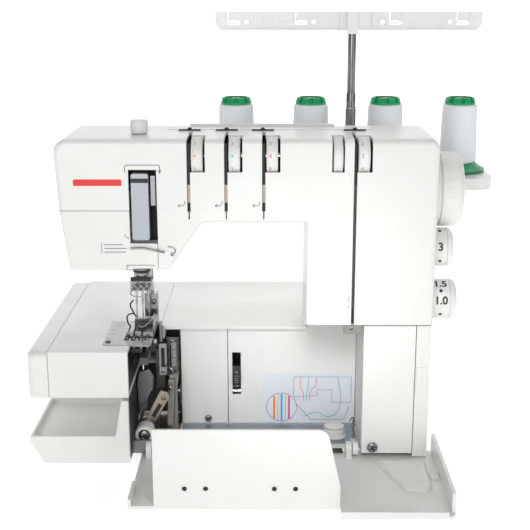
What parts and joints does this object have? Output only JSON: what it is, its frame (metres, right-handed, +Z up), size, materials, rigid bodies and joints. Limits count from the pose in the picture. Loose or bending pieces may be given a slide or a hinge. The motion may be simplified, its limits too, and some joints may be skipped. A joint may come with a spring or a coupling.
{
  "type": "coverstitch sewing machine",
  "caption": "White coverstitch sewing machine of the serger family with free arm, fold-down looper cover, tension dials, spool stand and telescopic thread guide.",
  "frame": {"origin": "on the table, under the middle of the machine's bounding box with the looper cover open", "axes": "+X to the handwheel side, +Y to the back, +Z up"},
  "size_m": [0.418, 0.32, 0.392],
  "materials": {
    "white_housing": "satin moulded ABS, warm white",
    "white_inner": "matt moulded ABS, white",
    "grey_plastic": "dark grey moulding",
    "black_plastic": "black moulding",
    "blue_grey_plastic": "satin blue-grey",
    "cast_frame": "die cast, as cast",
    "steel": "ground steel",
    "chrome": "bright plated",
    "brass": "sintered bearing bronze",
    "rubber": "moulded rubber",
    "thread": "cross-wound polyester thread with green core"
  },
  "bodies": {
    "chassis": {"bed_cover": "white_housing", "free_arm_shell": "white_housing", "free_arm_end_cap": "white_housing", "front_housing": "white_housing", "rear_housing": "white_housing", "face_cover": "white_housing", "spool_stand": "white_housing", "base_frame": "white_inner", "left_inner_panel": "white_inner", "threading_panel": "white_inner", "column_inner_cover": "white_inner", "power_inlet": "black_plastic", "take_up_cover": "blue_grey_plastic", "machine_frame": "cast_frame", "presser_spring": "steel", "needle_plate": "steel", "looper_guides": "steel", "cover_hinge_pins": "steel", "spool_pins": "steel", "motor": "steel", "tension_disc_sets": "chrome", "hook_guides": "chrome", "panel_screws": "chrome", "pole_tube": "chrome", "shaft_bushes": "brass", "rubber_feet": "rubber", "timing_belt": "rubber", "motor_belt": "rubber"},
    "drive": {"main_shaft": "steel", "handwheel": "white_housing"},
    "lower_drive": {"lower_shaft": "steel"},
    "motor_rotor": {"motor_pulley": "grey_plastic"},
    "needle_carrier": {"needle_bar": "steel", "needle_clamp": "chrome", "needles": "steel"},
    "presser": {"presser_bar": "steel", "presser_foot": "chrome"},
    "lifter": {"presser_lifter": "black_plastic"},
    "take_up": {"take_up_lever": "chrome"},
    "looper_carrier": {"looper_arm": "cast_frame", "looper": "steel"},
    "feed": {"feed_dogs": "steel"},
    "pressure": {"pressure_knob": "white_housing"},
    "dial_left": {"tension_dial_left": "white_inner"},
    "dial_middle": {"tension_dial_middle": "white_inner"},
    "dial_right": {"tension_dial_right": "white_inner"},
    "dial_looper": {"tension_dial_looper": "white_inner"},
    "dial_tight": {"looper_tight_dial": "white_inner"},
    "length_dial": {"stitch_length_dial": "white_housing"},
    "feed_dial": {"differential_feed_dial": "white_housing"},
    "release": {"release_slider": "black_plastic"},
    "cover": {"looper_cover": "white_housing"},
    "tray": {"side_tray": "white_housing"},
    "pole_middle": {"pole_middle_tube": "chrome"},
    "guide_bar": {"thread_guide_bar": "white_inner"},
    "switch": {"power_switch": "black_plastic"},
    "cone_1": {"thread_cone_1": "thread"},
    "cone_2": {"thread_cone_2": "thread"},
    "cone_3": {"thread_cone_3": "thread"},
    "cone_4": {"thread_cone_4": "thread"}
  },
  "joints": [
    {"name": "handwheel_turn", "type": "hinge", "parent": "chassis", "child": "drive", "pos_m": [0.155, -0.006, 0.244], "axis": [1, 0, 0], "continuous": true},
    {"name": "lower_shaft_turn", "type": "hinge", "parent": "chassis", "child": "lower_drive", "pos_m": [0, 0.03, 0.04], "axis": [1, 0, 0], "continuous": true},
    {"name": "motor_turn", "type": "hinge", "parent": "chassis", "child": "motor_rotor", "pos_m": [0.128, -0.02, 0.062], "axis": [1, 0, 0], "continuous": true},
    {"name": "needle_bar_slide", "type": "slide", "parent": "chassis", "child": "needle_carrier", "axis": [0, 0, 1], "range_m": [-0.008, 0.018]},
    {"name": "presser_bar_lift", "type": "slide", "parent": "chassis", "child": "presser", "axis": [0, 0, 1], "range_m": [0, 0.006], "deforming": ["presser_spring"]},
    {"name": "presser_lifter_turn", "type": "hinge", "parent": "chassis", "child": "lifter", "pos_m": [-0.11, 0.038, 0.222], "axis": [1, 0, 0], "range_deg": [0, 30]},
    {"name": "take_up_swing", "type": "hinge", "parent": "chassis", "child": "take_up", "pos_m": [-0.095, -0.028, 0.262], "axis": [-1, 0, 0], "range_deg": [-8, 8]},
    {"name": "looper_swing", "type": "hinge", "parent": "chassis", "child": "looper_carrier", "pos_m": [-0.1, 0, 0.05], "axis": [0, 1, 0], "range_deg": [-8, 8]},
    {"name": "feed_slide", "type": "slide", "parent": "chassis", "child": "feed", "axis": [0, 1, 0], "range_m": [-0.002, 0.002]},
    {"name": "pressure_knob_turn", "type": "hinge", "parent": "chassis", "child": "pressure", "pos_m": [-0.109, -0.026, 0.3], "axis": [0, 0, 1], "range_deg": [-180, 180]},
    {"name": "tension_dial_left_turn", "type": "hinge", "parent": "chassis", "child": "dial_left", "pos_m": [-0.05865, -0.0465, 0.2795], "axis": [1, 0, 0], "range_deg": [-150, 150]},
    {"name": "tension_dial_middle_turn", "type": "hinge", "parent": "chassis", "child": "dial_middle", "pos_m": [-0.02795, -0.0465, 0.2795], "axis": [1, 0, 0], "range_deg": [-150, 150]},
    {"name": "tension_dial_right_turn", "type": "hinge", "parent": "chassis", "child": "dial_right", "pos_m": [0.00305, -0.0465, 0.2795], "axis": [1, 0, 0], "range_deg": [-150, 150]},
    {"name": "tension_dial_looper_turn", "type": "hinge", "parent": "chassis", "child": "dial_looper", "pos_m": [0.07835, -0.0465, 0.2795], "axis": [1, 0, 0], "range_deg": [-150, 150]},
    {"name": "looper_tight_dial_turn", "type": "hinge", "parent": "chassis", "child": "dial_tight", "pos_m": [0.0571, -0.0465, 0.2795], "axis": [1, 0, 0], "range_deg": [-40, 40]},
    {"name": "stitch_length_turn", "type": "hinge", "parent": "chassis", "child": "length_dial", "pos_m": [0.15, -0.026, 0.197], "axis": [1, 0, 0], "range_deg": [-120, 120]},
    {"name": "differential_feed_turn", "type": "hinge", "parent": "chassis", "child": "feed_dial", "pos_m": [0.15, -0.026, 0.15], "axis": [1, 0, 0], "range_deg": [-120, 120]},
    {"name": "release_slide", "type": "slide", "parent": "chassis", "child": "release", "axis": [0, 0, 1], "range_m": [-0.008, 0.014]},
    {"name": "looper_cover_turn", "type": "hinge", "parent": "chassis", "child": "cover", "pos_m": [0, -0.051, 0.0186], "axis": [-1, 0, 0], "range_deg": [0, 90]},
    {"name": "side_tray_slide", "type": "slide", "parent": "chassis", "child": "tray", "axis": [-1, 0, 0], "range_m": [0, 0.06]},
    {"name": "pole_middle_slide", "type": "slide", "parent": "chassis", "child": "pole_middle", "axis": [0, 0, 1], "range_m": [-0.012, 0]},
    {"name": "guide_bar_slide", "type": "slide", "parent": "pole_middle", "child": "guide_bar", "axis": [0, 0, 1], "range_m": [-0.044, 0]},
    {"name": "power_switch_rock", "type": "hinge", "parent": "chassis", "child": "switch", "pos_m": [0.086, 0.152, 0.056], "axis": [1, 0, 0], "range_deg": [0, 14]},
    {"name": "cone_1_lift", "type": "slide", "parent": "chassis", "child": "cone_1", "axis": [0, 0, 1], "range_m": [0, 0.056]},
    {"name": "cone_2_lift", "type": "slide", "parent": "chassis", "child": "cone_2", "axis": [0, 0, 1], "range_m": [0, 0.056]},
    {"name": "cone_3_lift", "type": "slide", "parent": "chassis", "child": "cone_3", "axis": [0, 0, 1], "range_m": [0, 0.056]},
    {"name": "cone_4_lift", "type": "slide", "parent": "chassis", "child": "cone_4", "axis": [0, 0, 1], "range_m": [0, 0.056]}
  ],
  "couplings": [
    {"joint": "lower_shaft_turn", "follows": "handwheel_turn", "ratio": 1},
    {"joint": "motor_turn", "follows": "handwheel_turn", "ratio": 5.1111},
    {"joint": "take_up_swing", "follows": "needle_bar_slide", "rad_per_m": 7.7},
    {"joint": "looper_swing", "follows": "needle_bar_slide", "rad_per_m": 7.7},
    {"joint": "feed_slide", "follows": "needle_bar_slide", "ratio": 0.1},
    {"joint": "presser_lifter_turn", "follows": "presser_bar_lift", "rad_per_m": 87.2}
  ]
}
